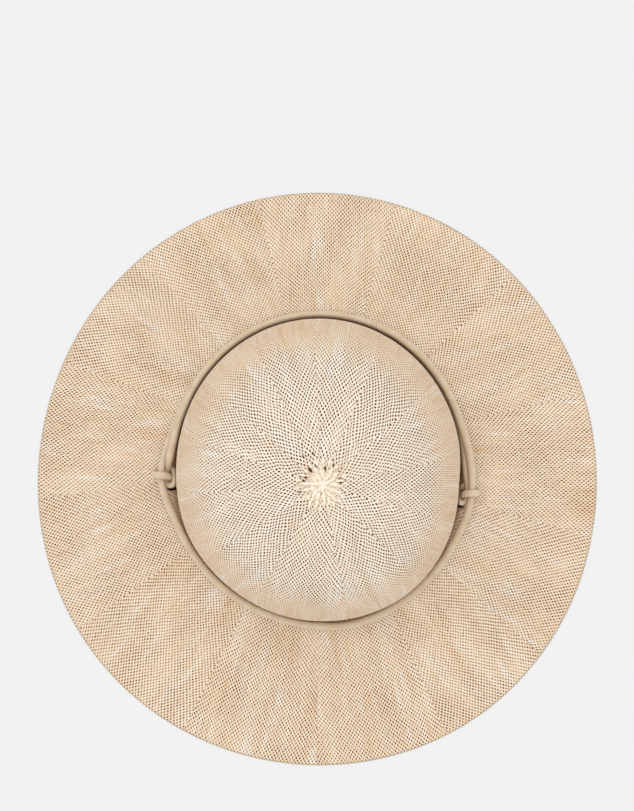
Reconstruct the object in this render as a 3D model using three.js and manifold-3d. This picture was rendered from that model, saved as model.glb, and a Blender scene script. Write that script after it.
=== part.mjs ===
// A wide-brimmed sun hat knitted from straw yarn, with a round cord about its crown.
// Millimetres, +Z up. The origin is on the surface that the rim rests on, below the middle of the brim.
// The back of the hat is towards +Y and its front towards -Y.
import * as THREE from 'three';
import { mergeVertices } from 'three/addons/utils/BufferGeometryUtils.js';
import Module from 'manifold-3d';

// Driving dimensions, in millimetres
const BRIM_ACROSS = 371;
const BRIM_FRONT_TO_BACK = 380;
const CROWN_ACROSS = 182.4;
const CROWN_FRONT_TO_BACK = 193.2;
const CROWN_HEIGHT = 108;
const CROWN_BULGE_HEIGHT = 22;
const FOOT_TUCK = 3;
const CROWN_AT = { x: 1.2, y: 8.2 };
const STAR_LEAN = { x: 1.9, y: -7.4 };
const BRIM_RISE = 22;
const WALL = 2;
const SEAM_GAP = 0.3;
const RIM_FLAT = 3;
const RIM_EDGE = 1.2;
const RIM_ROUNDED = 0.75;
const WAVE_RISE = 1.1;
const GORE_SWELL = 0.5;
const CORD = 5.2;
const CORD_GAP = 0.45;
const CORD_IN_HITCH = 3.6;
const CORD_PULLED_TIGHT = 4.4;
const WRAP_THICK = 2.8;
const EYELET = 8.4;
const CHIN_FLOOR_GAP = 0.1;
const CHIN_REACH = 147;

// Counts and shape numbers
const GORES = 13;
const GORE_START_DEG = 18;
const COLUMNS_PER_GORE = 5;
const DOME_ROUNDNESS = 2.3;
const BRIM_SAG = 1.1;
const DOME_ROWS = 11;
const FOOT_ROWS = 3;
const BRIM_ROWS = 6;
const CORD_SIDES = 10;
const CHIN_SIDES = 8;
const CHIN_STEPS = 60;
const EYELET_SIDES = 20;
// Lengths of a cord's facets, in cord diameters
const ROUTE_STEP = 1.7;
const HITCH_STEP = 0.6;

// The rim runs a little out of true. reach is a share of half the brim's width across
const RIM_LOBES = [
  { count: 1, peakDeg: -28, reach: 0.003 },
  { count: 3, peakDeg: -39, reach: 0.0036 },
  { count: 4, peakDeg: 39, reach: 0.0017 },
];

// Where the crown stands out past a plain oval. reach is a share of half the crown's width across
const CROWN_SWELLS = [
  { atDeg: -50, spreadDeg: 21, reach: 0.035 },
  { atDeg: -154, spreadDeg: 14, reach: 0.016 },
  { atDeg: -6, spreadDeg: 8, reach: -0.014 },
];

// Long low waves of the brim, as shares of WAVE_RISE
const BRIM_WAVES = [
  { count: 2, peakDeg: 20, rise: 0.6 },
  { count: 5, peakDeg: 70, rise: 0.4 },
];

// One cord runs round the crown one and a half times, from the hitch on the left: over the other strand
// round the back, through the hitch on the right, round the front, through the hitch on the left, and
// under the first strand round the back to the hitch on the right. deg is the direction from the middle of
// the crown. away is the distance from the crown's foot to the cord's middle, in cord diameters. lift is 0
// where it lies on the brim and 1 where it lies on another strand
const UPPER_BACK = [
  { deg: 175.1, away: 1.66, lift: 1.62 },
  { deg: 170.6, away: 1.50, lift: 1.34 },
  { deg: 164.8, away: 1.40, lift: 1.12 },
  { deg: 158, away: 1.36, lift: 1.02 },
  { deg: 144, away: 1.34, lift: 1 },
  { deg: 130, away: 1.33, lift: 1 },
  { deg: 116, away: 1.28, lift: 1 },
  { deg: 102, away: 1.22, lift: 1 },
  { deg: 88, away: 1.26, lift: 1 },
  { deg: 74, away: 1.34, lift: 1 },
  { deg: 60, away: 1.46, lift: 1 },
  { deg: 46, away: 1.53, lift: 1 },
  { deg: 32, away: 1.59, lift: 1 },
  { deg: 18, away: 1.60, lift: 1.03 },
  { deg: 12, away: 1.73, lift: 1.08 },
  { deg: 6.2, away: 2.02, lift: 1.14 },
];
const FRONT = [
  { deg: 1.2, away: 2.26, lift: 1.2 },
  { deg: -8.8, away: 2.55, lift: 1.22 },
  { deg: -15.8, away: 2.38, lift: 0.98 },
  { deg: -23, away: 2.00, lift: 0.6 },
  { deg: -31, away: 1.74, lift: 0.26 },
  { deg: -40, away: 1.62, lift: 0.04 },
  { deg: -52, away: 1.52, lift: 0 },
  { deg: -64, away: 1.60, lift: 0 },
  { deg: -74, away: 1.78, lift: 0 },
  { deg: -81, away: 1.88, lift: 0 },
  { deg: -88, away: 1.73, lift: 0 },
  { deg: -97, away: 1.64, lift: 0 },
  { deg: -109, away: 1.54, lift: 0 },
  { deg: -122, away: 1.59, lift: 0 },
  { deg: -136, away: 1.63, lift: 0 },
  { deg: -149, away: 1.62, lift: 0.06 },
  { deg: -158, away: 1.72, lift: 0.3 },
  { deg: -165.4, away: 2.05, lift: 0.7 },
  { deg: -172.4, away: 2.56, lift: 1.14 },
  { deg: -178.4, away: 2.75, lift: 1.24 },
  { deg: -183.9, away: 2.50, lift: 0.92 },
];
const LOWER_BACK = [
  { deg: 170.6, away: 2.14, lift: 0.4 },
  { deg: 164.8, away: 1.86, lift: 0.1 },
  { deg: 157, away: 1.62, lift: 0 },
  { deg: 143, away: 1.50, lift: 0 },
  { deg: 129, away: 1.40, lift: 0 },
  { deg: 115, away: 1.30, lift: 0 },
  { deg: 101, away: 1.20, lift: 0 },
  { deg: 87, away: 1.20, lift: 0 },
  { deg: 73, away: 1.25, lift: 0 },
  { deg: 59, away: 1.32, lift: 0 },
  { deg: 45, away: 1.36, lift: 0 },
  { deg: 31, away: 1.36, lift: 0 },
  { deg: 19, away: 1.33, lift: 0 },
  { deg: 12, away: 1.34, lift: 0 },
  { deg: 6.2, away: 1.40, lift: 0.1 },
  { deg: 1.7, away: 1.54, lift: 0.28 },
];

// A hitch, from the eyelet to the back strand. The middle of the strand that passes through it is the
// origin: out is away from the crown, on is along that strand to the front and up is upward, in cord
// diameters. tight is 0 where the cord is round and full and 1 where it is drawn thin, and press is 1
// where the cord is flattened against the strand
const HITCH = [
  { out: -1.36, on: 1.30, up: -2.80, tight: 0.0, press: 0 },
  { out: -1.36, on: 1.30, up: -2.30, tight: 0.2, press: 0 },
  { out: -1.35, on: 1.12, up: -1.66, tight: 0.8, press: 0 },
  { out: -1.33, on: 0.78, up: -1.04, tight: 1.0, press: 0 },
  { out: -1.25, on: 0.46, up: -0.35, tight: 1.0, press: 0 },
  { out: -1.04, on: 0.22, up: 0.34, tight: 1.0, press: 0.4 },
  { out: -0.58, on: 0.10, up: 0.80, tight: 1.0, press: 1 },
  { out: 0.06, on: 0.04, up: 0.90, tight: 1.0, press: 1 },
  { out: 0.66, on: 0.00, up: 0.60, tight: 1.0, press: 1 },
  { out: 0.90, on: -0.04, up: -0.02, tight: 1.0, press: 1 },
  { out: 0.74, on: -0.18, up: -0.74, tight: 1.0, press: 1 },
  { out: 0.16, on: -0.42, up: -1.28, tight: 1.0, press: 1 },
  { out: -0.54, on: -0.60, up: -1.43, tight: 1.0, press: 1 },
  { out: -1.20, on: -0.64, up: -1.12, tight: 1.0, press: 0.6 },
  { out: -1.66, on: -0.46, up: -0.42, tight: 1.0, press: 0 },
  { out: -1.84, on: 0.06, up: 0.24, tight: 1.0, press: 0 },
  { out: -1.83, on: 0.70, up: 0.38, tight: 1.0, press: 0 },
  { out: -1.56, on: 1.22, up: 0.22, tight: 1.0, press: 0 },
  { out: -1.08, on: 1.38, up: -0.26, tight: 1.0, press: 0 },
  { out: -0.66, on: 1.04, up: -0.74, tight: 1.0, press: 0 },
  { out: -0.52, on: 0.46, up: -0.76, tight: 1.0, press: 0 },
  { out: -0.54, on: -0.30, up: -0.71, tight: 1.0, press: 0 },
];

// The end of each hitch. On the left the strand comes down from above, and on the right from below
const HITCH_ENDS = [
  [
    { out: -0.90, on: -0.84, up: -0.34, tight: 1.0, press: 0 },
    { out: -1.00, on: -1.40, up: 0.18, tight: 0.8, press: 0 },
  ],
  [
    { out: -0.60, on: -1.20, up: -0.66, tight: 0.7, press: 0 },
  ],
];

// The left hitch and the right one, by direction on the front strand. side is 1 on the left
const HITCHES = [
  { deg: -178.4, side: 1 },
  { deg: -8.3, side: -1 },
];

// How far a hitch draws the strand in it thin, in cord diameters to each side
const HITCH_SPAN = 1.6;

// The chin cord on the surface under the hat, from the left eyelet round the front to the right one.
// Chosen points: deg is the direction from the origin, reach is a share of CHIN_REACH, and up is above
// the lowest place in cord diameters
const CHIN_ROUTE = [
  { deg: 182.0, reach: 0.648, up: 1.2 },
  { deg: 183.5, reach: 0.680, up: 0.42 },
  { deg: 186.9, reach: 0.742, up: 0.05 },
  { deg: 191.5, reach: 0.822, up: 0 },
  { deg: 196.5, reach: 0.900, up: 0 },
  { deg: 204, reach: 0.958, up: 0 },
  { deg: 213, reach: 0.985, up: 0 },
  { deg: 223, reach: 0.992, up: 0 },
  { deg: 233, reach: 0.996, up: 0 },
  { deg: 243, reach: 1, up: 0 },
  { deg: 253, reach: 1, up: 0 },
  { deg: 263, reach: 1, up: 0 },
  { deg: 273, reach: 1, up: 0 },
  { deg: 283, reach: 1, up: 0 },
  { deg: 293, reach: 1, up: 0 },
  { deg: 303, reach: 0.996, up: 0 },
  { deg: 313, reach: 0.990, up: 0 },
  { deg: 322, reach: 0.980, up: 0 },
  { deg: 330, reach: 0.955, up: 0 },
  { deg: 337, reach: 0.900, up: 0 },
  { deg: 342.4, reach: 0.822, up: 0 },
  { deg: 346.6, reach: 0.742, up: 0.05 },
  { deg: 350.6, reach: 0.682, up: 0.42 },
  { deg: 352.3, reach: 0.652, up: 1.2 },
];

const STRAW = new THREE.MeshStandardMaterial({ color: 0xe6cfa9, roughness: 0.85, metalness: 0 });
const BRIM_STRAW = new THREE.MeshStandardMaterial({ color: 0xdfc7a0, roughness: 0.85, metalness: 0 });
const CORD_FINISH = new THREE.MeshStandardMaterial({ color: 0xc9b593, roughness: 0.6, metalness: 0 });
const CHIN_FINISH = new THREE.MeshStandardMaterial({ color: 0xbfa985, roughness: 0.6, metalness: 0 });

const COLUMNS = GORES * COLUMNS_PER_GORE;
const STRAIGHT_FOOT = WALL / CROWN_BULGE_HEIGHT;
const UP = new THREE.Vector3(0, 0, 1);
const radians = THREE.MathUtils.degToRad;
const GORE_START = radians(GORE_START_DEG);

function direction(angle) {
  return new THREE.Vector2(Math.cos(angle), Math.sin(angle));
}

function ovalReach(angle, across, frontToBack) {
  return 1 / Math.hypot(Math.cos(angle) * 2 / across, Math.sin(angle) * 2 / frontToBack);
}

function rimPoint(angle) {
  let reach = ovalReach(angle, BRIM_ACROSS, BRIM_FRONT_TO_BACK);
  for (const lobe of RIM_LOBES) {
    reach += lobe.reach * BRIM_ACROSS / 2 * Math.cos(lobe.count * (angle - radians(lobe.peakDeg)));
  }
  return direction(angle).multiplyScalar(reach);
}

// The crown's reach at its bulge, from its own middle
function crownReach(angle) {
  let reach = ovalReach(angle, CROWN_ACROSS, CROWN_FRONT_TO_BACK);
  for (const swell of CROWN_SWELLS) {
    const turn = angle - radians(swell.atDeg);
    const apart = Math.atan2(Math.sin(turn), Math.cos(turn)) / radians(swell.spreadDeg);
    reach += swell.reach * CROWN_ACROSS / 2 * Math.exp(-apart * apart / 2);
  }
  return reach;
}

function footPoint(angle, away = 0) {
  const reach = crownReach(angle) - FOOT_TUCK + away;
  return direction(angle).multiplyScalar(reach).add(new THREE.Vector2(CROWN_AT.x, CROWN_AT.y));
}

// One wall of the crown, level with its profile. turn runs from 0 at the foot to 1 at the bulge and to 2
// at the top. inset moves the wall inwards, square to the profile
function crownPoint(angle, turn, inset) {
  const at = (part) => {
    const reach = crownReach(angle);
    if (part <= 1) {
      const flare = Math.max(part - STRAIGHT_FOOT, 0) / (1 - STRAIGHT_FOOT);
      const below = (1 + Math.cos(Math.PI * flare)) / 2;
      return new THREE.Vector2(reach - FOOT_TUCK * below, CROWN_BULGE_HEIGHT * part);
    }
    const bend = (part - 1) * Math.PI / 2;
    const power = 2 / DOME_ROUNDNESS;
    const rise = (CROWN_HEIGHT - CROWN_BULGE_HEIGHT) * Math.sin(bend) ** power;
    return new THREE.Vector2(reach * Math.max(Math.cos(bend), 0) ** power, CROWN_BULGE_HEIGHT + rise);
  };
  const step = 0.01;
  const slope = at(Math.min(turn + step, 2)).sub(at(Math.max(turn - step, 0))).normalize();
  const place = at(turn);
  if (inset > 0) {
    place.x = Math.max(place.x - slope.y * inset, 0);
    place.y += turn > 0 ? slope.x * inset : 0;
  }
  const lean = turn > 1 ? 1 - at(turn).x / crownReach(angle) : 0;
  const spot = direction(angle).multiplyScalar(place.x);
  return new THREE.Vector3(
    CROWN_AT.x + STAR_LEAN.x * lean + spot.x,
    CROWN_AT.y + STAR_LEAN.y * lean + spot.y,
    BRIM_RISE + place.y,
  );
}

// The brim's surface. part is 0 beside the crown's foot and 1 at the rim, and above is its height over
// the underside
function brimPoint(angle, part, above) {
  const inner = footPoint(angle, SEAM_GAP);
  const outer = rimPoint(angle);
  const flatFrom = 1 - RIM_FLAT / outer.distanceTo(inner);
  const down = Math.min(part / flatFrom, 1);
  const free = Math.sin(Math.PI * down);
  let rise = BRIM_RISE * (1 - down) ** BRIM_SAG;
  for (const wave of BRIM_WAVES) {
    rise += WAVE_RISE * wave.rise * free * Math.cos(wave.count * (angle - radians(wave.peakDeg)));
  }
  rise += GORE_SWELL * free * Math.abs(Math.sin((angle - GORE_START) * GORES / 2));
  const plan = inner.lerp(outer, part);
  return new THREE.Vector3(plan.x, plan.y, rise + above);
}

// A place over the brim's top, at a distance from the crown's foot
function overBrim(angle, away, above) {
  const width = rimPoint(angle).distanceTo(footPoint(angle, SEAM_GAP));
  return brimPoint(angle, (away - SEAM_GAP) / width, WALL + above);
}

// A closed skin over rings of points that have the same count, or one point at a pole
function skin(rings, joined = false) {
  const places = [];
  const faces = [];
  const starts = rings.map((ring) => {
    const start = places.length / 3;
    ring.forEach((point) => places.push(point.x, point.y, point.z));
    return start;
  });
  const count = Math.max(...rings.map((ring) => ring.length));
  const spans = joined ? rings.length : rings.length - 1;
  for (let span = 0; span < spans; span += 1) {
    const next = (span + 1) % rings.length;
    for (let side = 0; side < count; side += 1) {
      const a = starts[span] + side % rings[span].length;
      const b = starts[span] + (side + 1) % rings[span].length;
      const c = starts[next] + side % rings[next].length;
      const d = starts[next] + (side + 1) % rings[next].length;
      if (a !== b) {
        faces.push(a, b, c);
      }
      if (c !== d) {
        faces.push(b, d, c);
      }
    }
  }
  const geometry = new THREE.BufferGeometry();
  geometry.setAttribute('position', new THREE.Float32BufferAttribute(places, 3));
  geometry.setIndex(volumeOf(places, faces) < 0 ? faces.reverse() : faces);
  return geometry;
}

function volumeOf(places, faces) {
  const corner = (index) => new THREE.Vector3().fromArray(places, index * 3);
  let volume = 0;
  for (let face = 0; face < faces.length; face += 3) {
    const side = corner(faces[face + 1]).cross(corner(faces[face + 2]));
    volume += corner(faces[face]).dot(side) / 6;
  }
  return volume;
}

// A ring of columns, the first of them in the valley between two gores
function around(place) {
  const turn = 2 * Math.PI / COLUMNS;
  return Array.from({ length: COLUMNS }, (_, column) => place(GORE_START + column * turn));
}

function crownGeometry() {
  const turns = [0];
  for (let row = 0; row < FOOT_ROWS; row += 1) {
    turns.push(STRAIGHT_FOOT + (1 - STRAIGHT_FOOT) * row / FOOT_ROWS);
  }
  for (let row = 0; row < DOME_ROWS; row += 1) {
    turns.push(1 + row / DOME_ROWS);
  }
  const wall = (inset) => turns.map((turn) => around((angle) => crownPoint(angle, turn, inset)));
  const outside = wall(0);
  const inside = wall(WALL).reverse();
  const top = crownPoint(0, 2, 0);
  const topInside = top.clone().setZ(top.z - WALL);
  return skin([[topInside], ...inside, ...outside, [top]]);
}

function brimGeometry() {
  const parts = Array.from({ length: BRIM_ROWS }, (_, row) => row / BRIM_ROWS);
  const face = (above) => parts.map((part) => around((angle) => {
    const width = rimPoint(angle).distanceTo(footPoint(angle, SEAM_GAP));
    return brimPoint(angle, part * (1 - RIM_FLAT / width), above);
  }));
  const flat = (above, inwards) => around((angle) => {
    const width = rimPoint(angle).distanceTo(footPoint(angle, SEAM_GAP));
    return brimPoint(angle, 1 - inwards / width, above);
  });
  const flats = [flat(WALL, RIM_FLAT), flat(WALL, RIM_ROUNDED), flat(RIM_EDGE, 0)];
  const under = [...face(0), flat(0, RIM_FLAT), flat(0, 0)].reverse();
  return skin([...face(WALL), ...flats, ...under], true);
}

// A cord's skin, with a ring at each part of its curve. reach(part, middle, way) is how far it stands out
// from its middle towards a way across it
function cordGeometry(curve, parts, reach) {
  let across = null;
  const rings = parts.map((part) => {
    const middle = curve.getPoint(part);
    const ahead = curve.getTangent(part);
    across = across ?? new THREE.Vector3().crossVectors(ahead, UP);
    across = across.clone().addScaledVector(ahead, -across.dot(ahead)).normalize();
    const first = across;
    const second = new THREE.Vector3().crossVectors(ahead, first);
    return Array.from({ length: CORD_SIDES }, (_, side) => {
      const turn = side / CORD_SIDES * 2 * Math.PI;
      const way = first.clone().multiplyScalar(Math.cos(turn)).addScaledVector(second, Math.sin(turn));
      return middle.clone().addScaledVector(way, reach(part, middle, way));
    });
  });
  return skin([[curve.getPoint(0)], ...rings, [curve.getPoint(1)]]);
}

const CORD_RADIUS = CORD / 2;

function onRoute(row) {
  const above = CORD_RADIUS + CORD_GAP + row.lift * (CORD + CORD_GAP);
  return overBrim(radians(row.deg), row.away * CORD, above);
}

// The place and direction of the strand that passes through a hitch
const frontCurve = new THREE.CatmullRomCurve3(FRONT.map(onRoute), false, 'centripetal');

function hitchFrame(hitch) {
  const next = FRONT.findIndex((row) => row.deg <= hitch.deg);
  const last = FRONT[next - 1];
  const share = (last.deg - hitch.deg) / (last.deg - FRONT[next].deg);
  const part = (next - 1 + share) / (FRONT.length - 1);
  const middle = frontCurve.getPoint(part);
  const on = frontCurve.getTangent(part).multiplyScalar(-hitch.side).setZ(0).normalize();
  const out = new THREE.Vector3().crossVectors(on, UP).multiplyScalar(hitch.side);
  return { middle, on, out };
}

const frames = HITCHES.map(hitchFrame);

function inHitch(frame, { out, on, up }) {
  return frame.middle.clone()
    .addScaledVector(frame.out, out * CORD)
    .addScaledVector(frame.on, on * CORD)
    .addScaledVector(UP, up * CORD);
}

const [leftHitch, rightHitch] = frames.map((frame, index) => (
  [...HITCH, ...HITCH_ENDS[index]].map((row) => ({ ...row, frame }))
));
const route = [...UPPER_BACK, ...FRONT, ...LOWER_BACK].map((row) => ({ ...row, tight: 0, press: 0 }));
const cordRows = [...leftHitch, ...route, ...rightHitch.reverse()];
const cordPoints = cordRows.map((row) => (row.frame ? inHitch(row.frame, row) : onRoute(row)));
const cordCurve = new THREE.CatmullRomCurve3(cordPoints, false, 'centripetal');

// The parts of the curve that get a ring: more of them in a hitch
function cordParts() {
  const spans = cordRows.length - 1;
  const parts = [];
  for (let span = 0; span < spans; span += 1) {
    const step = cordRows[span].frame ? HITCH_STEP : ROUTE_STEP;
    const count = Math.ceil(cordPoints[span].distanceTo(cordPoints[span + 1]) / (step * CORD));
    for (let ring = 0; ring < count; ring += 1) {
      parts.push((span + ring / count) / spans);
    }
  }
  return [...parts, 1];
}

function cordReach(part, middle, way) {
  const place = part * (cordRows.length - 1);
  const before = cordRows[Math.floor(place)];
  const after = cordRows[Math.min(Math.ceil(place), cordRows.length - 1)];
  const share = place - Math.floor(place);
  const tight = THREE.MathUtils.lerp(before.tight, after.tight, share);
  const press = THREE.MathUtils.lerp(before.press, after.press, share);
  const near = Math.min(...frames.map((frame) => frame.middle.distanceTo(middle)));
  const drawn = THREE.MathUtils.smoothstep(HITCH_SPAN * CORD * 2 - near, 0, HITCH_SPAN * CORD);
  const round = Math.min(
    THREE.MathUtils.lerp(CORD_RADIUS, CORD_IN_HITCH / 2, tight),
    THREE.MathUtils.lerp(CORD_RADIUS, CORD_PULLED_TIGHT / 2, drawn),
  );
  if (press === 0) {
    return round;
  }
  const frame = before.frame ?? after.frame;
  const from = middle.clone().sub(frame.middle);
  from.addScaledVector(frame.on, -from.dot(frame.on)).normalize();
  const thin = THREE.MathUtils.lerp(round, WRAP_THICK / 2, press);
  const wide = THREE.MathUtils.lerp(round, CORD_RADIUS, press);
  const facing = Math.abs(way.dot(from));
  return 1 / Math.hypot(facing / thin, Math.sqrt(1 - facing * facing) / wide);
}

// The chin cord, laid on the surface. Each end rises straight to the crown cord's end below its eyelet
const chinPoints = CHIN_ROUTE.map(({ deg, reach, up }) => {
  const plan = direction(radians(deg)).multiplyScalar(reach * CHIN_REACH);
  return new THREE.Vector3(plan.x, plan.y, CHIN_FLOOR_GAP + CORD_RADIUS + up * CORD);
});
const cordEnds = [cordPoints[0], cordPoints[cordPoints.length - 1]];
const [leftRise, rightRise] = cordEnds.map((end) => [
  end.clone().addScaledVector(UP, -SEAM_GAP),
  end.clone().addScaledVector(UP, -SEAM_GAP - CORD),
]);
const chinCurve = new THREE.CatmullRomCurve3(
  [...leftRise, ...chinPoints, ...rightRise.reverse()],
  false,
  'centripetal',
);

function chinGeometry() {
  const section = new THREE.Shape();
  for (let side = 0; side < CHIN_SIDES; side += 1) {
    const corner = direction((side + 0.5) / CHIN_SIDES * 2 * Math.PI).multiplyScalar(CORD_RADIUS);
    if (side === 0) {
      section.moveTo(corner.x, corner.y);
    } else {
      section.lineTo(corner.x, corner.y);
    }
  }
  return new THREE.ExtrudeGeometry(section, { steps: CHIN_STEPS, extrudePath: chinCurve });
}

// Cuts with shared vertices, so that a hole's wall joins both faces of the brim
const wasm = await Module();
wasm.setup();

function toSolid(geometry) {
  const bare = geometry.clone();
  bare.deleteAttribute('normal');
  bare.deleteAttribute('uv');
  const merged = mergeVertices(bare, 1e-4);
  return new wasm.Manifold(new wasm.Mesh({
    numProp: 3,
    vertProperties: Float32Array.from(merged.attributes.position.array),
    triVerts: Uint32Array.from(merged.index.array),
  }));
}

function toGeometry(solid) {
  const mesh = solid.getMesh();
  const geometry = new THREE.BufferGeometry();
  geometry.setAttribute('position', new THREE.Float32BufferAttribute(mesh.vertProperties, 3));
  geometry.setIndex(Array.from(mesh.triVerts));
  return geometry;
}

function brimWithEyelets() {
  let solid = toSolid(brimGeometry());
  for (const end of cordEnds) {
    const punch = new THREE.CylinderGeometry(EYELET / 2, EYELET / 2, BRIM_RISE, EYELET_SIDES);
    punch.rotateX(Math.PI / 2);
    punch.translate(end.x, end.y, end.z);
    solid = solid.subtract(toSolid(punch));
  }
  return toGeometry(solid);
}

function named(name, geometry, material) {
  const mesh = new THREE.Mesh(geometry, material);
  mesh.name = name;
  return mesh;
}

const hat = new THREE.Group();
hat.add(named('crown', crownGeometry(), STRAW));
hat.add(named('brim', brimWithEyelets(), BRIM_STRAW));
hat.add(named('crown_cord', cordGeometry(cordCurve, cordParts(), cordReach), CORD_FINISH));
hat.add(named('chin_cord', chinGeometry(), CHIN_FINISH));

export default hat;
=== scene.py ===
# %% [markdown]
# A wide-brimmed sun hat, knitted from straw yarn and seen from straight above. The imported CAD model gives
# the sizes and places. It is loaded first, and its box is kept, so that the finished hat can be compared
# with it at the end.

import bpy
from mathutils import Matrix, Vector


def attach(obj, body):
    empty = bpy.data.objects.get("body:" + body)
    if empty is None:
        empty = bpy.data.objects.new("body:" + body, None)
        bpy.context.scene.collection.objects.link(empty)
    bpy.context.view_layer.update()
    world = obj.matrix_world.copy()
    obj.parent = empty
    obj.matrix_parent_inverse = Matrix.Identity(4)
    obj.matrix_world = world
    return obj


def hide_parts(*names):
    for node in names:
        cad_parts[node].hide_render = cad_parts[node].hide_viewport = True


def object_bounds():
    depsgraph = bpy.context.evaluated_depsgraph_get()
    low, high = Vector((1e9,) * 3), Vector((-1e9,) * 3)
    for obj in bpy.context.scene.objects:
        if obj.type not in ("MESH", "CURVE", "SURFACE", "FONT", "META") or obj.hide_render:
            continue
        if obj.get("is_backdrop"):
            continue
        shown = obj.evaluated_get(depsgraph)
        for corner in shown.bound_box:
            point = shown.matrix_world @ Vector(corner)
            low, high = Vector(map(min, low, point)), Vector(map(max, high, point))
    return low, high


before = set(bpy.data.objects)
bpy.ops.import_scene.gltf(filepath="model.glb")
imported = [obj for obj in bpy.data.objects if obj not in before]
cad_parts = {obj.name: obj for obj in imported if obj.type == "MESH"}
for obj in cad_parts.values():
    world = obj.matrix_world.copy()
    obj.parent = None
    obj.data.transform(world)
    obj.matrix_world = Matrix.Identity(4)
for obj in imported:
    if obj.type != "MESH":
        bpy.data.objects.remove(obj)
cad_box = [list(corner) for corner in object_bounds()]

import math

import bmesh
import bpy
import numpy as np
from mathutils import Matrix, Vector

MM = 0.001
print("nodes:", sorted(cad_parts), "box:", cad_box)

# %% [markdown]
# The photograph was taken from straight above, about one and a half metres up. A long lens at that height
# shows the crown a little larger than the brim, as the photograph does. The camera looks down by itself
# when it isn't turned, with the back of the hat at the top of the picture.

# %% Camera
CAMERA_UP = 1.5
CAMERA_AT = (0.0, 0.04907)
VIEW_TALL = 0.5378
SENSOR = 36.0

lens = bpy.data.cameras.new("camera")
lens.sensor_fit = "VERTICAL"
lens.sensor_height = SENSOR
lens.lens = SENSOR * CAMERA_UP / VIEW_TALL
camera = bpy.data.objects.new("camera", lens)
camera.location = (*CAMERA_AT, CAMERA_UP)
bpy.context.scene.collection.objects.link(camera)
bpy.context.scene.camera = camera
print("lens:", round(lens.lens, 1), "mm")

# %% [markdown]
# The chin cord is the free stretch of cord between the two eyelets. Under a hat that lies on a table it
# rests on the table in one loose loop round the front. A curve with a round bevel is the plainest way to
# make a cord: it keeps its thickness, and its length can be measured. Its points are those of the solid.
# Blender adds a point's radius to the curve's box, so each point has the cord's own radius, and the bevel
# has a depth of 1. The usual way, a thin bevel and points of radius 1, would make a box two metres wide.

# %% Chin cord
CORD = 5.2
CHIN_REACH = 147
CHIN_LOW = 0.1 + CORD / 2
CHIN_START = [(-94.45, -2.61, 15.77), (-94.45, -2.61, 10.57)]
CHIN_FINISH = [(93.18, -13.75, 10.98), (93.18, -13.75, 16.18)]
# direction in degrees, share of CHIN_REACH, height over the lowest place in cord diameters
CHIN_ROUTE = [
    (182.0, 0.648, 1.2), (183.5, 0.680, 0.42), (186.9, 0.742, 0.05), (191.5, 0.822, 0), (196.5, 0.900, 0),
    (204, 0.958, 0), (213, 0.985, 0), (223, 0.992, 0), (233, 0.996, 0), (243, 1, 0), (253, 1, 0),
    (263, 1, 0), (273, 1, 0), (283, 1, 0), (293, 1, 0), (303, 0.996, 0), (313, 0.990, 0), (322, 0.980, 0),
    (330, 0.955, 0), (337, 0.900, 0), (342.4, 0.822, 0), (346.6, 0.742, 0.05), (350.6, 0.682, 0.42),
    (352.3, 0.652, 1.2),
]

chin_points = list(CHIN_START)
for deg, reach, lift in CHIN_ROUTE:
    turn = math.radians(deg)
    away = reach * CHIN_REACH
    chin_points.append((away * math.cos(turn), away * math.sin(turn), CHIN_LOW + lift * CORD))
chin_points += CHIN_FINISH

chin_curve = bpy.data.curves.new("chin_cord_curve", "CURVE")
chin_curve.dimensions = "3D"
chin_curve.bevel_depth = 1.0
chin_curve.bevel_resolution = 5
chin_curve.resolution_u = 6
chin_curve.use_fill_caps = True
chin_line = chin_curve.splines.new("BEZIER")
chin_line.bezier_points.add(len(chin_points) - 1)
for knot, place in zip(chin_line.bezier_points, chin_points):
    knot.co = Vector(place) * MM
    knot.radius = CORD / 2 * MM
    knot.handle_left_type = knot.handle_right_type = "AUTO"
chin_cord = bpy.data.objects.new("chin_cord_free", chin_curve)
bpy.context.scene.collection.objects.link(chin_cord)
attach(chin_cord, "root")
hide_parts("chin_cord")
[x * MM for x in chin_points[0]]
print("chin cord points:", len(chin_points))

# %% [markdown]
# The ground is a plain pale sheet, and the light is soft and even, as in a light tent. The even world
# light does most of the work. One broad far lamp, a little to the back left of straight above, gives the
# stitches a lit side and a shaded side. The ground gives off light of its own past the rim, which keeps
# the hat's shadow faint.

# %% Ground and light
GROUND = 2.6
SHADOW_FROM = 0.180
SHADOW_TO = 0.186
GLOW_SHARE = 0.8
TENT = 0.87
LAMP = 0.85
LAMP_SPREAD = math.radians(50)
LAMP_TILT = (math.radians(-8), math.radians(-5), 0)

ground_mesh = bpy.data.meshes.new("ground")
bm = bmesh.new()
bmesh.ops.create_grid(bm, x_segments=1, y_segments=1, size=GROUND)
bm.to_mesh(ground_mesh)
bm.free()
ground = bpy.data.objects.new("ground", ground_mesh)
bpy.context.scene.collection.objects.link(ground)
ground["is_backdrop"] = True

world = bpy.data.worlds.new("light_tent")
world.use_nodes = True
world.node_tree.nodes["Background"].inputs["Color"].default_value = (1.0, 1.0, 1.0, 1)
world.node_tree.nodes["Background"].inputs["Strength"].default_value = TENT
bpy.context.scene.world = world

lamp = bpy.data.lights.new("soft_lamp", "SUN")
lamp.energy = LAMP
lamp.angle = LAMP_SPREAD
lamp_object = bpy.data.objects.new("soft_lamp", lamp)
lamp_object.rotation_euler = LAMP_TILT
bpy.context.scene.collection.objects.link(lamp_object)
bpy.context.scene.view_settings.view_transform = "Standard"
print("ground:", GROUND * 2, "m, tent:", TENT, "lamp:", LAMP)

# %% [markdown]
# Materials are built from nodes, and their sums are easier to read as Python. The class below wraps one
# socket of a node: a sum or a product of two of them adds the Math node that does it. Every other node
# comes from one method of the finish, which takes the node's type, its settings and its inputs.

# %% Helpers for materials


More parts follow.
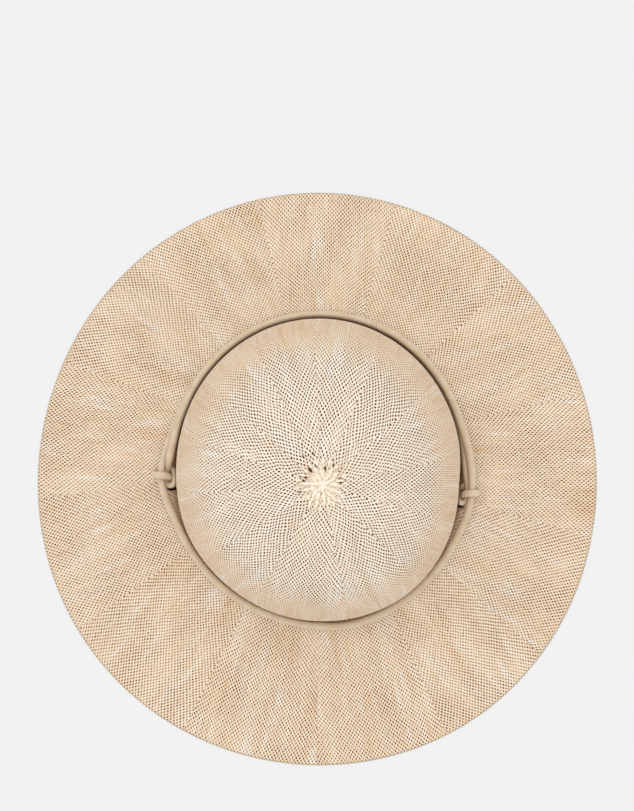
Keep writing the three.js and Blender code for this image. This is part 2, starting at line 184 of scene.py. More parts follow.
class Flow:
    """One number or colour on its way through a material's nodes."""

    def __init__(self, finish, socket):
        self.finish, self.socket = finish, socket

    def maths(self, operation, *others):
        values = dict(enumerate((self, *others)))
        return self.finish.node("ShaderNodeMath", {"operation": operation}, values)

    def __add__(self, other):
        return self.maths("ADD", other)

    def __mul__(self, other):
        return self.maths("MULTIPLY", other)

    def __sub__(self, other):
        return self.maths("SUBTRACT", other)

    def __rsub__(self, other):
        return self * -1 + other

    def __pow__(self, other):
        return self.maths("POWER", other)

    def step(self, low, high):
        """0 below low, 1 above high and smooth between them."""
        values = {0: self, 1: low, 2: high, 3: 0.0, 4: 1.0}
        return self.finish.node("ShaderNodeMapRange", {"interpolation_type": "SMOOTHSTEP"}, values)


class Finish:
    """A material and its nodes."""

    def __init__(self, name):
        self.material = bpy.data.materials.new(name)
        self.material.use_nodes = True
        self.tree = self.material.node_tree
        self.tree.nodes.clear()

    def node(self, kind, settings=None, values=None, output=0):
        made = self.tree.nodes.new(kind)
        for name, value in (settings or {}).items():
            setattr(made, name, value)
        for name, value in (values or {}).items():
            if isinstance(value, Flow):
                self.tree.links.new(value.socket, made.inputs[name])
            else:
                made.inputs[name].default_value = value
        return Flow(self, made.outputs[output] if made.outputs else None)

    def mix(self, share, first, second):
        """A colour between two colours."""
        return self.node("ShaderNodeMix", {"data_type": "RGBA"}, {0: share, 6: first, 7: second}, output=2)

    def noise(self, place, scale, detail):
        return self.node("ShaderNodeTexNoise", {}, {"Vector": place, "Scale": scale, "Detail": detail})

    def done(self, surface):
        self.node("ShaderNodeOutputMaterial", {}, {"Surface": surface})
        return self.material


def rgb(red, green, blue):
    """A colour as on a screen, from 0 to 255, as a node's linear colour."""
    def linear(value):
        value /= 255
        return value / 12.92 if value <= 0.04045 else ((value + 0.055) / 1.055) ** 2.4
    return (linear(red), linear(green), linear(blue), 1.0)


print("screen white is", rgb(255, 255, 255)[:3])

# %% [markdown]
# The ground's own light fades in with the distance from the hat's middle, just inside the rim. So it is
# dark below the hat, where one can look down through the eyelets.

# %% Ground finish
ground_finish = Finish("pale_ground")
spot = ground_finish.node("ShaderNodeTexCoord", output=3)
away = ground_finish.node("ShaderNodeVectorMath", {"operation": "LENGTH"}, {0: spot}, output=1)
open_ground = away.step(SHADOW_FROM, SHADOW_TO) * GLOW_SHARE
paper = ground_finish.node("ShaderNodeBsdfDiffuse", {}, {"Color": rgb(238, 238, 238)})
glow = ground_finish.node("ShaderNodeEmission", {}, {"Color": rgb(240, 240, 240), "Strength": 1.0})
ground_mesh.materials.append(ground_finish.done(
    ground_finish.node("ShaderNodeMixShader", {}, {0: open_ground, 1: paper, 2: glow})))

# %% [markdown]
# The knit follows the hat's own shape, so its outlines are worked out from the same sizes as the solids.
# Each function takes directions round the hat and gives distances, and works on whole arrays at once.
# Lengths are in millimetres until the mesh is made.

# %% The hat's shape
BRIM_ACROSS, BRIM_FRONT_TO_BACK = 371, 380
CROWN_ACROSS, CROWN_FRONT_TO_BACK = 182.4, 193.2
CROWN_HEIGHT, BULGE_HEIGHT = 108, 22
FOOT_TUCK, WALL, SEAM_GAP = 3, 2, 0.3
CROWN_AT, STAR_LEAN = (1.2, 8.2), (1.9, -7.4)
BRIM_RISE, RIM_FLAT = 22, 3
DOME_ROUNDNESS, BRIM_SAG = 2.3, 1.1
WAVE_RISE, GORE_SWELL = 1.1, 0.5
GORE_START, GORES = math.radians(18), 13
RIM_LOBES = [(1, -28, 0.003), (3, -39, 0.0036), (4, 39, 0.0017)]
CROWN_SWELLS = [(-50, 21, 0.035), (-154, 14, 0.016), (-6, 8, -0.014)]
BRIM_WAVES = [(2, 20, 0.6), (5, 70, 0.4)]


def oval(angle, across, deep):
    return 1 / np.hypot(np.cos(angle) * 2 / across, np.sin(angle) * 2 / deep)


def rim_reach(angle):
    reach = oval(angle, BRIM_ACROSS, BRIM_FRONT_TO_BACK)
    for count, peak, share in RIM_LOBES:
        reach = reach + share * BRIM_ACROSS / 2 * np.cos(count * (angle - math.radians(peak)))
    return reach


def crown_reach(angle):
    reach = oval(angle, CROWN_ACROSS, CROWN_FRONT_TO_BACK)
    for at, spread, share in CROWN_SWELLS:
        turn = angle - math.radians(at)
        apart = np.arctan2(np.sin(turn), np.cos(turn)) / math.radians(spread)
        reach = reach + share * CROWN_ACROSS / 2 * np.exp(-apart * apart / 2)
    return reach


def crown_place(angle, turn):
    """A ring's middle, its reach and its height. turn is 0 at the foot, 1 at the bulge and 2 at the star."""
    straight = WALL / BULGE_HEIGHT
    flare = np.clip(turn - straight, 0, None) / (1 - straight)
    below = (1 + np.cos(np.pi * np.clip(flare, 0, 1))) / 2
    bend = np.clip(turn - 1, 0, 1) * np.pi / 2
    power = 2 / DOME_ROUNDNESS
    share = np.clip(np.cos(bend), 0, 1) ** power
    reach = crown_reach(angle) * share - np.where(turn <= 1, FOOT_TUCK * below, 0)
    rise = np.where(turn <= 1, BULGE_HEIGHT * turn,
                    BULGE_HEIGHT + (CROWN_HEIGHT - BULGE_HEIGHT) * np.sin(bend) ** power)
    lean = np.where(turn > 1, 1 - share, 0)
    return CROWN_AT[0] + STAR_LEAN[0] * lean, CROWN_AT[1] + STAR_LEAN[1] * lean, reach, BRIM_RISE + rise


def brim_place(angle, part):
    """The brim's top. part is 0 at the crown's foot and 1 at the rim."""
    inner = crown_reach(angle) - FOOT_TUCK + SEAM_GAP
    in_x, in_y = CROWN_AT[0] + inner * np.cos(angle), CROWN_AT[1] + inner * np.sin(angle)
    out_x, out_y = rim_reach(angle) * np.cos(angle), rim_reach(angle) * np.sin(angle)
    flat_from = 1 - RIM_FLAT / np.hypot(out_x - in_x, out_y - in_y)
    down = np.clip(part / flat_from, 0, 1)
    free = np.sin(np.pi * down)
    rise = BRIM_RISE * (1 - down) ** BRIM_SAG
    for count, peak, share in BRIM_WAVES:
        rise = rise + WAVE_RISE * share * free * np.cos(count * (angle - math.radians(peak)))
    rise = rise + GORE_SWELL * free * np.abs(np.sin((angle - GORE_START) * GORES / 2))
    middle_x, middle_y = CROWN_AT[0] * (1 - part), CROWN_AT[1] * (1 - part)
    reach = np.hypot(in_x + (out_x - in_x) * part - middle_x, in_y + (out_y - in_y) * part - middle_y)
    return middle_x, middle_y, reach, rise + WALL


back_reach = [float(brim_place(np.pi / 2, part)[2]) for part in (0.0, 1.0)]
print("reach at the back, foot and rim:", np.round(back_reach, 1), "mm")

# %% [markdown]
# The hat is knitted sideways, in thirteen wedges called gores. In each gore the yarn runs from the star at
# the top to the rim, and the lines of yarn are parallel, so new ones start along the line where two gores
# meet. That is why the photograph shows a fan with thirteen folds. The rows below are the directions of
# those meeting lines, in degrees, on the brim and on the crown.

# %% Where the gores meet
GORE_LINES = [
    {"brim": 18, "crown": 6}, {"brim": 46, "crown": 37}, {"brim": 74, "crown": 64},
    {"brim": 102, "crown": 92}, {"brim": 128, "crown": 117}, {"brim": 155, "crown": 142},
    {"brim": 184, "crown": 165}, {"brim": 212, "crown": 189}, {"brim": 242, "crown": 217.5},
    {"brim": 270, "crown": 243}, {"brim": 297, "crown": 281.5}, {"brim": 322, "crown": 313},
    {"brim": 348, "crown": 339},
]


def gores_of(part):
    """Each gore's middle line and half its angle, in radians."""
    lines = [row[part] for row in GORE_LINES] + [GORE_LINES[0][part] + 360]
    return [(math.radians(a + b) / 2, math.radians(b - a) / 2) for a, b in zip(lines, lines[1:])]


print("brim gores:", [round(math.degrees(2 * half)) for _, half in gores_of("brim")])

# %% [markdown]
# The lines of yarn touch and part by turns, so their gaps are small dark holes in a diamond pattern. Holes
# and touching places fall on every fourth line of a fine grid, which makes the relief simple: a grid point
# is a hole, a crest or neither. A grid made by one operator is laid over each gore. Its points past the
# meeting line are brought onto it, and the doubles there are merged, which closes the knit without seams.
# The shifts of the wobble grow where the knit is loose: high on the crown, and midway down the brim.

# %% Helpers for the knit
PARTS = 4
KNIT_TO = 0.99
HOLE_DEPTH = 0.8
CREST = 0.16
SEAM_DEPTH = 0.25
SEAM_CATCH = 0.35
GAP_DEPTH = 1.2
EYELET_BORDER = 3
WOBBLE = 0.11
LOOSE_FROM, LOOSE_OVER = 85, 30
BRIM_LOOSE = 0.6
chance = np.random.default_rng(5)
# direction of a wave across the hat, its length, its start and the direction of its shift
WAVERS = [(chance.uniform(0, 7), chance.uniform(5, 13), chance.uniform(0, 7), chance.uniform(0, 7))
          for _ in range(12)]


def wobble(spots):
    """Small soft shifts of each place level with the table, as the lines of yarn never lie quite even."""
    shift = np.zeros((len(spots), 2))
    for turn, length, start, way in WAVERS:
        phase = (spots[:, 0] * math.cos(turn) + spots[:, 1] * math.sin(turn)) / length * 2 * np.pi + start
        shift += np.sin(phase)[:, None] * [math.cos(way), math.sin(way)]
    return shift * WOBBLE


def knit_rows(count, spread):
    """Shares of the way down, count stitches of PARTS rows each."""
    return spread(np.arange(count * PARTS + 1) / (count * PARTS))


def lay_gores(bm, gores, reach_at, rows, pitch):
    """A flat grid for each gore, in one mesh. A point keeps its column, row and gore as x, y and z."""
    for number, (middle, half) in gores:
        widest = float(np.max(reach_at(middle, rows))) * math.sin(half)
        columns = int(widest / (pitch / PARTS)) + 2
        sheet = bmesh.ops.create_grid(bm, x_segments=2 * columns, y_segments=len(rows) - 1, size=1)
        moved = Matrix.Translation((0, 0, number)) @ Matrix.Diagonal((columns, (len(rows) - 1) / 2, 1, 1))
        bmesh.ops.transform(bm, matrix=moved, verts=sheet["verts"])


def knit_piece(name, part, numbers, place, rows, pitch, holes=(), gaps=None):
    """One piece of knit: the gores with these numbers, with relief and a map that counts stitches."""
    every = gores_of(part)
    gores = [(number, every[number]) for number in numbers]
    bm = bmesh.new()
    lay_gores(bm, gores, lambda angle, turn: place(angle, turn)[2], rows, pitch)
    mesh = bpy.data.meshes.new(name)
    bm.to_mesh(mesh)
    bm.free()
    spots = np.zeros(len(mesh.vertices) * 3)
    mesh.vertices.foreach_get("co", spots)
    column, row, number = spots.reshape(-1, 3).T
    row = np.rint(row + (len(rows) - 1) / 2).astype(int)
    number = np.rint(number).astype(int)
    middle = np.array([gore[0] for gore in every])[number]
    half = np.array([gore[1] for gore in every])[number]
    turn = rows[row]
    across = np.rint(column) * pitch / PARTS
    angle = middle + np.sign(across) * half
    edge = place(angle, turn)[2] * np.sin(half)
    seam = np.abs(across) > edge - SEAM_CATCH * pitch / PARTS
    across = np.where(seam, np.sign(across) * edge, across)
    lean = np.where(seam, np.sign(across) * half, 0.0)
    for _ in range(5):
        reach = place(middle + lean, turn)[2]
        sine = np.clip(across / np.maximum(reach, 1e-6), -1, 1)
        lean = np.where(seam, lean, np.arcsin(sine))
    angle = middle + lean
    x, y, reach, z = place(angle, turn)
    spots = np.stack([x + reach * np.cos(angle), y + reach * np.sin(angle), z + 0 * reach], 1)
    gap = gaps(spots) if gaps else np.zeros(len(spots))
    if part == "crown":
        loose = np.clip((spots[:, 2] - LOOSE_FROM) / LOOSE_OVER, 0, 1)
    else:
        loose = BRIM_LOOSE * np.sin(np.pi * turn / KNIT_TO)
    spots[:, :2] += wobble(spots) * np.broadcast_to(loose, len(spots))[:, None]
    mesh.vertices.foreach_set("co", (spots * MM).ravel())
    stitch = np.stack([across / pitch + 100 * number, row / PARTS], 1)
    corner = np.zeros(len(mesh.loops), dtype=int)
    mesh.loops.foreach_get("vertex_index", corner)
    layer = mesh.uv_layers.new(name="stitch")
    layer.data.foreach_set("uv", stitch[corner].ravel())
    lift = np.where(seam, -SEAM_DEPTH, relief(np.rint(column).astype(int), row))
    for layer, values in (("lift", lift * (1 - gap) - GAP_DEPTH * gap), ("gap", gap)):
        mesh.attributes.new(layer, "FLOAT", "POINT").data.foreach_set("value", values.astype(np.float32))
    finish_knit(mesh, holes)
    piece = bpy.data.objects.new(name, mesh)
    bpy.context.scene.collection.objects.link(piece)
    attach(piece, "root")
    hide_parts(part)
    print(name, "triangles:", sum(len(p.vertices) - 2 for p in mesh.polygons))
    return piece


def relief(column, row):
    """Depth of a hole or height of a crest at each grid point, with a little chance in it."""
    wave = np.cos(column * 2 * np.pi / PARTS) * np.cos(row * 2 * np.pi / PARTS)
    deep = HOLE_DEPTH * chance.uniform(0.45, 1.1, len(column))
    return np.where(wave > 0.5, -deep, np.where(wave < -0.5, CREST, 0)) + chance.normal(0, 0.03, len(column))


def finish_knit(mesh, holes):
    """Merges the doubles, cuts the eyelets, and moves each point out or in along its normal."""
    bm = bmesh.new()
    bm.from_mesh(mesh)
    bmesh.ops.remove_doubles(bm, verts=bm.verts, dist=1e-6)
    bmesh.ops.reverse_faces(bm, faces=bm.faces)
    for eye_x, eye_y, radius in holes:
        cut_eyelet(bm, eye_x, eye_y, radius)
    bm.to_mesh(mesh)
    bm.free()
    count = len(mesh.vertices)
    spots, normals, lift = np.zeros(count * 3), np.zeros(count * 3), np.zeros(count)
    mesh.vertices.foreach_get("co", spots)
    mesh.vertex_normals.foreach_get("vector", normals)
    mesh.attributes["lift"].data.foreach_get("value", lift)
    moved = spots.reshape(-1, 3) + normals.reshape(-1, 3) * lift[:, None] * MM
    mesh.vertices.foreach_set("co", moved.ravel())
    mesh.polygons.foreach_set("use_smooth", np.ones(len(mesh.polygons), dtype=bool))
    mesh.update()


def cut_eyelet(bm, eye_x, eye_y, radius, wall=WALL):
    """Opens a round hole: what lies inside goes, its border is drawn onto the circle and turned down."""
    middle = Vector((eye_x, eye_y)) * MM
    near = [v for v in bm.verts if (v.co.xy - middle).length < radius * MM]
    if not near:
        return
    bmesh.ops.delete(bm, geom=near, context="VERTS")
    reach = (radius + EYELET_BORDER) * MM
    lift = bm.verts.layers.float.get("lift")
    open_edges = [e for e in bm.edges if e.is_boundary]
    border = [e for e in open_edges if all((v.co.xy - middle).length < reach for v in e.verts)]
    for v in {v for edge in border for v in edge.verts}:
        v.co.xy = middle + (v.co.xy - middle).normalized() * radius * MM
        if lift:
            v[lift] = 0
    turned = bmesh.ops.extrude_edge_only(bm, edges=border)["geom"]
    turned = [v for v in turned if isinstance(v, bmesh.types.BMVert)]
    bmesh.ops.translate(bm, vec=(0, 0, -wall * MM), verts=turned)


print("hole depth:", HOLE_DEPTH, "mm")

# %% [markdown]
# The brim has about thirty-five stitches from the crown to the rim, a little longer towards the rim, where
# the knit is stretched. It is made in three pieces, because one piece with every stitch in it would be
# too heavy. Two eyelets let the cord through.

# %% Brim knit
BRIM_STITCHES = 35
BRIM_PITCH = 2.41
EYELET = 8.4
EYELETS = [(-94.449, -2.614, EYELET / 2), (93.178, -13.747, EYELET / 2)]
brim_rows = knit_rows(BRIM_STITCHES, lambda share: KNIT_TO * share * (0.85 + 0.15 * share))
brim_back = knit_piece("brim_knit_back", "brim", range(0, 5), brim_place, brim_rows, BRIM_PITCH, EYELETS)
brim_left = knit_piece("brim_knit_left", "brim", range(5, 9), brim_place, brim_rows, BRIM_PITCH, EYELETS)
brim_right = knit_piece("brim_knit_right", "brim", range(9, 13), brim_place, brim_rows, BRIM_PITCH, EYELETS)

# %% [markdown]
# The crown has about forty-seven stitches from the star down to its foot. They are of even length along
# the surface, so the rows are spaced by the length of the profile and not by its angle.

# %% Crown knit
CROWN_STITCHES = 47
CROWN_PITCH = 2.2


def even_turns(share):
    """Turns from the star, 2, to the foot, 0, spaced evenly along the profile."""
    turn = np.linspace(2, 0, 801)
    _, y, reach, z = crown_place(np.pi / 2, turn)
    way = np.concatenate([[0], np.cumsum(np.hypot(np.diff(y + reach), np.diff(z)))])
    return np.interp(share * way[-1], way, turn)


STAR = np.array(CROWN_AT) + np.array(STAR_LEAN)
# direction in degrees, distance from the star, length and width
STAR_GAPS = [
    (128, 11.9, 3.0, 1.3), (79, 9.6, 2.7, 1.2), (155, 11.4, 2.3, 0.9), (166, 11.8, 2.3, 0.9),
    (37, 12.5, 1.6, 0.8), (21, 11.8, 2.2, 0.7), (8, 11.1, 2.0, 0.7), (267, 5.2, 0.9, 0.9),
    (198, 13.6, 1.4, 0.9), (62, 13.9, 1.2, 0.9), (124, 20.4, 1.4, 1.0), (106, 20.0, 1.2, 0.9),
    (109, 12.5, 1.9, 0.6),
]


def star_gaps(spots):
    """1 in a gap between the first stitches, 0 elsewhere."""
    amount = np.zeros(len(spots))
    for degrees, away, long, wide in STAR_GAPS:
        turn = math.radians(degrees)
        ahead = np.array([math.cos(turn), math.sin(turn)])
        apart = spots[:, :2] - STAR - ahead * away
        reach = np.hypot(apart @ ahead / (long / 2), apart @ [-ahead[1], ahead[0]] / (wide / 2))
        amount = np.maximum(amount, np.clip(1.6 - reach, 0, 1))
    return amount


crown_rows = knit_rows(CROWN_STITCHES, even_turns)
crown_back = knit_piece("crown_knit_back", "crown", range(0, 6), crown_place, crown_rows, CROWN_PITCH,
                        gaps=star_gaps)
crown_front = knit_piece("crown_knit_front", "crown", range(6, 13), crown_place, crown_rows, CROWN_PITCH,
                         gaps=star_gaps)

# %% [markdown]
# The knitting begins at the star with long loose stitches that lie like petals. There are few of them and
# they are as long as grains of rice, so each is a small ball, stretched along its direction from the star.
# The four rings are a table, and chance turns and shifts each stitch a little. None lies over a gap.

# %% Star stitches
STAR_RINGS = [
    {"count": 7, "away": 3.0, "long": 6.0, "wide": 1.8},
    {"count": 13, "away": 6.8, "long": 5.4, "wide": 1.7},
    {"count": 18, "away": 10.4, "long": 4.8, "wide": 1.5},
    {"count": 22, "away": 13.8, "long": 4.2, "wide": 1.3},
]
STITCH_THICK = 1.0
STITCH_LIFT = 0.05


def crown_height(away):
    """The crown's height at a distance from the star."""
    turn = np.linspace(2, 1, 400)
    reach = crown_place(0.0, turn)[2]
    return float(np.interp(away, reach, crown_place(0.0, turn)[3]))


bm = bmesh.new()
for ring in STAR_RINGS:
    for number in range(ring["count"]):
        turn = (number + chance.uniform(-0.2, 0.2)) / ring["count"] * 2 * math.pi + ring["away"]
        away = ring["away"] + chance.uniform(-0.6, 0.6)
        x, y = STAR + away * np.array([math.cos(turn), math.sin(turn)])
        if star_gaps(np.array([[x, y, 0]]))[0] > 0:
            continue
        twist = turn + chance.uniform(-0.3, 0.3)
        size = Matrix.Diagonal((ring["long"] / 2, ring["wide"] / 2, STITCH_THICK / 2, 1))
        spot = Matrix.Translation((x, y, crown_height(away) + STITCH_LIFT))
        shape = Matrix.Scale(MM, 4) @ spot @ Matrix.Rotation(twist, 4, "Z") @ size
        bmesh.ops.create_icosphere(bm, subdivisions=3, radius=1, matrix=shape)
for face in bm.faces:
    face.smooth = True
star_mesh = bpy.data.meshes.new("star_stitches")
bm.to_mesh(star_mesh)
print("star triangles:", len(bm.faces))
bm.free()
star = bpy.data.objects.new("star_stitches", star_mesh)
bpy.context.scene.collection.objects.link(star)
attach(star, "root")

# %% [markdown]
# Seen from above, straw yarn is cream with paler and tanner streaks along each line, because the yarn's
# colour varies along it. The stitch map counts stitches across and along the yarn, so waves of it find the
# holes, and noise that is stretched along the yarn gives the streaks. The holes have painted shade: dark
# brown, as the shade seen in them. The crests where lines of yarn touch have a painted highlight, and the
# grooves between the lines get a little painted shade. The crown is palest near its top, and lower down,
# where its holes close, thin lines of painted shade follow the grooves. Round the star the knit has painted
# shade under its first stitches. In the crease at the crown's foot the straw is painted darker, because
# little light gets in between the stitches there. A fade is a pair of values: nothing changes before the
# first, and the change is whole at the second.

# %% Straw finish
CREAM = rgb(244, 219, 187)
PALE = rgb(255, 252, 242)
TAN = rgb(232, 188, 138)
# painted shade: colours for the shade in the holes, in the grooves and round the star, and in the crease
HOLE_SHADE_BROWN = rgb(98, 52, 6)
SOFT_SHADE_BROWN = rgb(176, 122, 70)
SHADE_BROWN = rgb(68, 38, 4)
# in rows of stitches from the star: no holes, then holes; painted shade round the star; holes that close up
# down the side
FIRST_HOLES, STAR_SHADE, SIDE_CLOSES = (1.5, 5), (3.0, 6.0), (20, 29)
# in shares of the crown's oval, and in metres above the table
BRIM_CREASE, FOOT_CREASE = (1.0, 1.082), (0.022, 0.031)
CREASE_SHADE = 0.85


def hat_oval(finish, place):
    """How far out a place is, as a share of the crown's oval."""
    x = finish.node("ShaderNodeSeparateXYZ", {}, {0: place}, output=0)
    y = finish.node("ShaderNodeSeparateXYZ", {}, {0: place}, output=1)
    x = (x - CROWN_AT[0] * MM) * (2 / (CROWN_ACROSS * MM))
    y = (y - CROWN_AT[1] * MM) * (2 / (CROWN_FRONT_TO_BACK * MM))
    return (x * x + y * y) ** 0.5


def straw_finish(name, hole_from, hole_shade, streak, on_crown=False):
    """A low hole_from makes wide holes. The crown has the star, and its holes close up down the side."""
    straw = Finish(name)
    stitch = straw.node("ShaderNodeUVMap", {"uv_map": "stitch"})
    across = straw.node("ShaderNodeSeparateXYZ", {}, {0: stitch}, output=0)
    along = straw.node("ShaderNodeSeparateXYZ", {}, {0: stitch}, output=1)

    def stretched(wide, long, detail=2.0):
        """Noise about 0, whose spots are wide across the yarn and long along it where these are small."""
        place = straw.node("ShaderNodeCombineXYZ", {}, {0: across * wide, 1: along * long})
        return straw.noise(place, 1.0, detail) - 0.5

    def luck(shift):
        """A random number from 0 to 1 for each stitch."""
        cell = straw.node("ShaderNodeCombineXYZ", {}, {0: (across * 2 + 0.5 + shift).maths("FLOOR"),
                                                       1: (along * 2 + 0.5).maths("FLOOR")})
        return straw.node("ShaderNodeTexWhiteNoise", {"noise_dimensions": "2D"}, {"Vector": cell})

    full = 2 * math.pi
    column = (across * full).maths("COSINE")
    wave = column * (along * full).maths("COSINE")
    slant = (across * full).maths("SINE") * (along * full).maths("SINE")
    valley = column.maths("ABSOLUTE") ** 3.0
    patch = (stretched(0.10, 0.07) * 2.4 + 0.5).maths("MAXIMUM", 0.0).maths("MINIMUM", 1.0)
    open_here = patch * 0.65 + 0.55
    if on_crown:
        open_here = open_here * (1 - along.step(*SIDE_CLOSES) * 0.65) * along.step(*FIRST_HOLES)
    # painted shade: the holes, and the gaps by the star, are painted dark brown, as the shade seen in them
    hole = wave.step(hole_from, 0.72) * (luck(0) * 0.6 + 0.5) * open_here
    hole = hole.maths("MAXIMUM", straw.node("ShaderNodeAttribute", {"attribute_name": "gap"}, output=2))
    tone = stretched(1.9, 0.11) * streak + stretched(0.7, 0.07) * streak * 0.7 + stretched(0.2, 0.05) * 0.5
    # painted highlight: the crests where lines of yarn touch are painted paler, as light on their tops
    crest = (wave * -1).step(0.0, 0.8) * (luck(0.5) * 0.8 + 0.35)
    colour = straw.mix(tone.step(0.0, 0.34), CREAM, PALE)
    colour = straw.mix((tone * -1).step(0.0, 0.34), colour, TAN)
    colour = straw.mix(crest * 0.85, colour, PALE)
    # painted shade: the grooves between lines of yarn are darkened where the knit is open
    colour = straw.mix(valley * open_here * 0.35, colour, SOFT_SHADE_BROWN)
    if on_crown:
        colour = straw.mix((1 - along.step(*SIDE_CLOSES)) * 0.35, colour, PALE)
        # painted shade: thin lines of shade along the grooves, where the crown's holes close
        colour = straw.mix(valley * along.step(*SIDE_CLOSES) * 0.35, colour, SOFT_SHADE_BROWN)
        # painted shade: the knit round the star's stitches is darker, as shade under them
        colour = straw.mix((1 - along.step(*STAR_SHADE)) * 0.2, colour, SOFT_SHADE_BROWN)
    # painted shade in the holes
    colour = straw.mix(hole * hole_shade, colour, HOLE_SHADE_BROWN)
    place = straw.node("ShaderNodeTexCoord", output=3)
    crease = 1 - hat_oval(straw, place).step(*BRIM_CREASE)
    if on_crown:
        height = straw.node("ShaderNodeSeparateXYZ", {}, {0: place}, output=2)
        crease = (1 - height.step(*FOOT_CREASE)) * 0.7
    colour = straw.mix(crease, colour, SOFT_SHADE_BROWN)
    colour = straw.mix(crease * CREASE_SHADE, colour, SHADE_BROWN)
    rise = stretched(14, 3, 3.0) * 0.25 - valley * 0.35 - wave.step(0.0, 1.0) * 0.6 + slant * 0.3
    bump = straw.node("ShaderNodeBump", {}, {"Strength": 0.7, "Distance": 0.0005, "Height": rise})
    shader = straw.node("ShaderNodeBsdfPrincipled", {}, {
        "Base Color": colour, "Roughness": 0.78, "Specular IOR Level": 0.12, "Normal": bump})
    return straw.done(shader)


brim_straw = straw_finish("brim_straw", -0.05, 1.0, 0.62)
crown_straw = straw_finish("crown_straw", 0.06, 1.6, 0.75, on_crown=True)
for piece in (brim_back, brim_left, brim_right):
    piece.data.materials.append(brim_straw)
for piece in (crown_back, crown_front):
    piece.data.materials.append(crown_straw)

print("straw finishes:", brim_straw.name, crown_straw.name)

# %% [markdown]
# The star's stitches are the palest on the hat. They have no stitch map, so their streaks are fine noise
# in space, which also gives them the roughness of straw.

# %% Star finish
petal = Finish("petal_straw")
petal_place = petal.node("ShaderNodeTexCoord", output=3)
petal_tone = petal.noise(petal_place, 900, 3.0)
petal_colour = petal.mix(petal_tone.step(0.35, 0.65), rgb(238, 218, 190), rgb(255, 247, 232))
petal_bump = petal.node("ShaderNodeBump", {}, {"Strength": 0.4, "Distance": 0.0003, "Height": petal_tone})
star_mesh.materials.append(petal.done(petal.node("ShaderNodeBsdfPrincipled", {}, {
    "Base Color": petal_colour, "Roughness": 0.7, "Specular IOR Level": 0.3, "Normal": petal_bump})))
print("star finish:", petal.material.name)

# %% [markdown]
# The underside of the brim and the inside of the crown are the back of the same knit. A plain shell is
# enough there, with the stitches left to the finish. The brim's shell begins with the rolled rim, whose
# small teeth are the last stitches. Each shell is a flat grid that is wrapped round and merged.

# %% Undersides
RIM_STITCHES = 482
RIM_TOOTH = 0.3
ROLL = 1.0
UNDER_RINGS = 22
INSIDE_RINGS, INSIDE_SIDES = 40, 260
# a shell's map: its stitches to a column and to a ring, and where the count starts
MAP_ACROSS, MAP_ALONG, MAP_START = 0.5, 1.6, 0.25


def shell_piece(name, part, columns, rings, holes=()):
    """A shell through rings, each a function of the directions round the hat that gives x, y and z."""
    bm = bmesh.new()
    bmesh.ops.create_grid(bm, x_segments=columns, y_segments=len(rings) - 1, size=1)
    mesh = bpy.data.meshes.new(name)
    bm.to_mesh(mesh)
    spots = np.array([v.co for v in bm.verts])
    bm.free()
    column = np.rint((spots[:, 0] + 1) / 2 * columns).astype(int)
    row = np.rint((spots[:, 1] + 1) / 2 * (len(rings) - 1)).astype(int)
    angle = np.arange(columns + 1) / columns * 2 * np.pi
    levels = np.array([np.stack(np.broadcast_arrays(*ring(angle % (2 * np.pi))), 1) for ring in rings])
    mesh.vertices.foreach_set("co", (levels[row, column] * MM).ravel())
    corner = np.zeros(len(mesh.loops), dtype=int)
    mesh.loops.foreach_get("vertex_index", corner)
    stitch = np.stack([column * MAP_ACROSS + MAP_START, row * MAP_ALONG + MAP_START], 1)
    mesh.uv_layers.new(name="stitch").data.foreach_set("uv", stitch[corner].ravel())
    bm = bmesh.new()
    bm.from_mesh(mesh)
    bmesh.ops.remove_doubles(bm, verts=bm.verts, dist=1e-6)
    for eye_x, eye_y, radius in holes:
        cut_eyelet(bm, eye_x, eye_y, radius, wall=0)
    bm.to_mesh(mesh)
    bm.free()
    mesh.polygons.foreach_set("use_smooth", np.ones(len(mesh.polygons), dtype=bool))
    mesh.update()
    piece = bpy.data.objects.new(name, mesh)
    bpy.context.scene.collection.objects.link(piece)
    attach(piece, "root")
    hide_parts(part)
    print(name, "triangles:", sum(len(p.vertices) - 2 for p in mesh.polygons))
    return piece


def placed(angle, middle_x, middle_y, reach, height):
    """x, y and z of places at a reach and a height round a middle."""
    return middle_x + reach * np.cos(angle), middle_y + reach * np.sin(angle), height


def rolled_rim(turn):
    """A ring of the rolled rim, turn in degrees from its top to its underside."""
    def ring(angle):
        tooth = RIM_TOOTH * np.cos(angle * RIM_STITCHES) * math.sin(math.radians(turn))
        reach = rim_reach(angle) - ROLL + (ROLL + tooth) * math.sin(math.radians(turn))
        return placed(angle, 0, 0, reach, WALL / 2 * (1 + math.cos(math.radians(turn))))
    return ring


def under_brim(part):
    def ring(angle):
        middle_x, middle_y, reach, height = brim_place(angle, part)
        return placed(angle, middle_x, middle_y, reach, height - WALL)
    return ring


def inside_crown(turn):
    def ring(angle):
        middle_x, middle_y, reach, height = crown_place(angle, turn)
        inner = np.clip(reach - WALL, 0, None)
        return placed(angle, middle_x, middle_y, inner, height - WALL * max(turn - 1, 0))
    return ring


rim_rings = [rolled_rim(turn) for turn in (0, 30, 60, 90, 120, 150, 180)]
under_rings = [under_brim(part) for part in np.linspace(KNIT_TO, 0, UNDER_RINGS)]
brim_under = shell_piece("brim_under", "brim", RIM_STITCHES * 2, rim_rings + under_rings, EYELETS)
crown_rings = [inside_crown(turn) for turn in even_turns(np.linspace(1, 0, INSIDE_RINGS))]
crown_inside = shell_piece("crown_inside", "crown", INSIDE_SIDES, crown_rings)
brim_under.data.materials.append(brim_straw)
crown_inside.data.materials.append(crown_straw)

# %% [markdown]
# The cord that runs round the crown is soft and smooth, like fine suede. Its solid has the right course,
# hitches and squeezed places, but only ten sides. A merged copy of it is made of quads again, swelled by
# what smoothing takes off, and smoothed by a Subdivision Surface.

# %% Cord round the crown
SWELL = 0.16

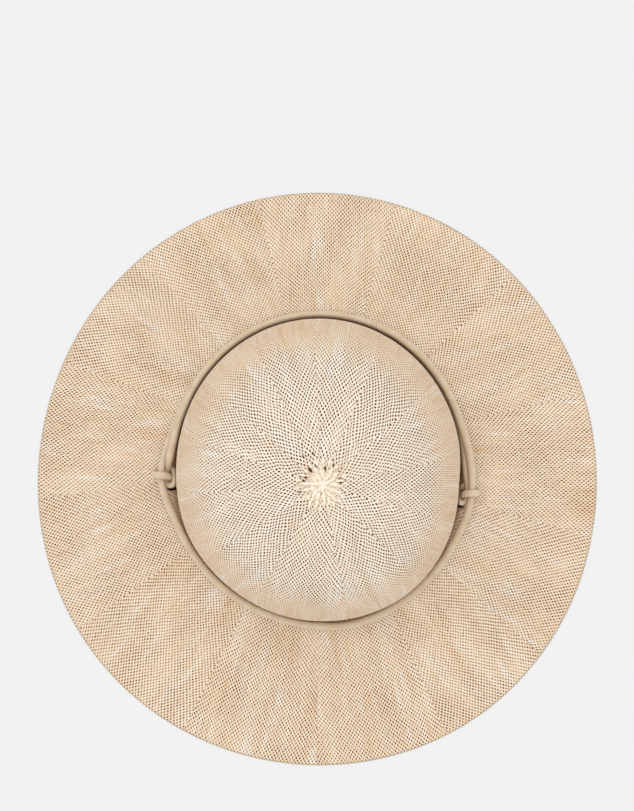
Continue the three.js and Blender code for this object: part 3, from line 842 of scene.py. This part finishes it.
bm = bmesh.new()
bm.from_mesh(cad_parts["crown_cord"].data)
bmesh.ops.remove_doubles(bm, verts=bm.verts, dist=1e-6)
bmesh.ops.join_triangles(bm, faces=bm.faces, angle_face_threshold=math.radians(40),
                         angle_shape_threshold=math.radians(60))
bm.normal_update()
for v in bm.verts:
    v.co += v.normal * SWELL * MM
for face in bm.faces:
    face.smooth = True
print("crown cord faces:", len(bm.faces), "quads:", sum(len(face.verts) == 4 for face in bm.faces))
cord_mesh = bpy.data.meshes.new("crown_cord_smooth")
bm.to_mesh(cord_mesh)
bm.free()
crown_cord = bpy.data.objects.new("crown_cord_smooth", cord_mesh)
bpy.context.scene.collection.objects.link(crown_cord)
smooth = crown_cord.modifiers.new("smooth", "SUBSURF")
smooth.levels = smooth.render_levels = 2
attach(crown_cord, "root")
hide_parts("crown_cord")

# %% [markdown]
# The cord's finish is nearly plain: a warm beige that is a little paler in soft clouds, with a fine nap
# that keeps it from shining. Its side towards the crown has painted shade, as dark as the crease.

# %% Cord finish
CORD_SHADE = (1.01, 1.042)

cord_finish = Finish("suede_cord")
place = cord_finish.node("ShaderNodeTexCoord", output=3)
cloud = cord_finish.noise(place, 160, 3.0)
nap = cord_finish.noise(place, 2600, 2.0)
beige = cord_finish.mix(cloud.step(0.35, 0.7), rgb(212, 192, 163), rgb(222, 205, 180))
beige = cord_finish.mix((nap - 0.5) * 0.5 + 0.2, beige, rgb(193, 168, 134))
# painted shade: the cord's side towards the crown is darkened
inner = 1 - hat_oval(cord_finish, place).step(*CORD_SHADE)
beige = cord_finish.mix(inner * CREASE_SHADE, beige, SHADE_BROWN)
nap_bump = cord_finish.node("ShaderNodeBump", {}, {"Strength": 0.25, "Distance": 0.0002, "Height": nap})
suede = cord_finish.done(cord_finish.node("ShaderNodeBsdfPrincipled", {}, {
    "Base Color": beige, "Roughness": 0.7, "Specular IOR Level": 0.35, "Normal": nap_bump}))
for piece in (crown_cord, chin_cord):
    piece.data.materials.append(suede)
print("cord finish:", suede.name)

# %% [markdown]
# Last, the finished hat's box is written beside the box of the solids, so that the two can be compared.

# %% Look at the size
size = {"cad": cad_box, "visual": [list(corner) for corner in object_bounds()]}
print(size)
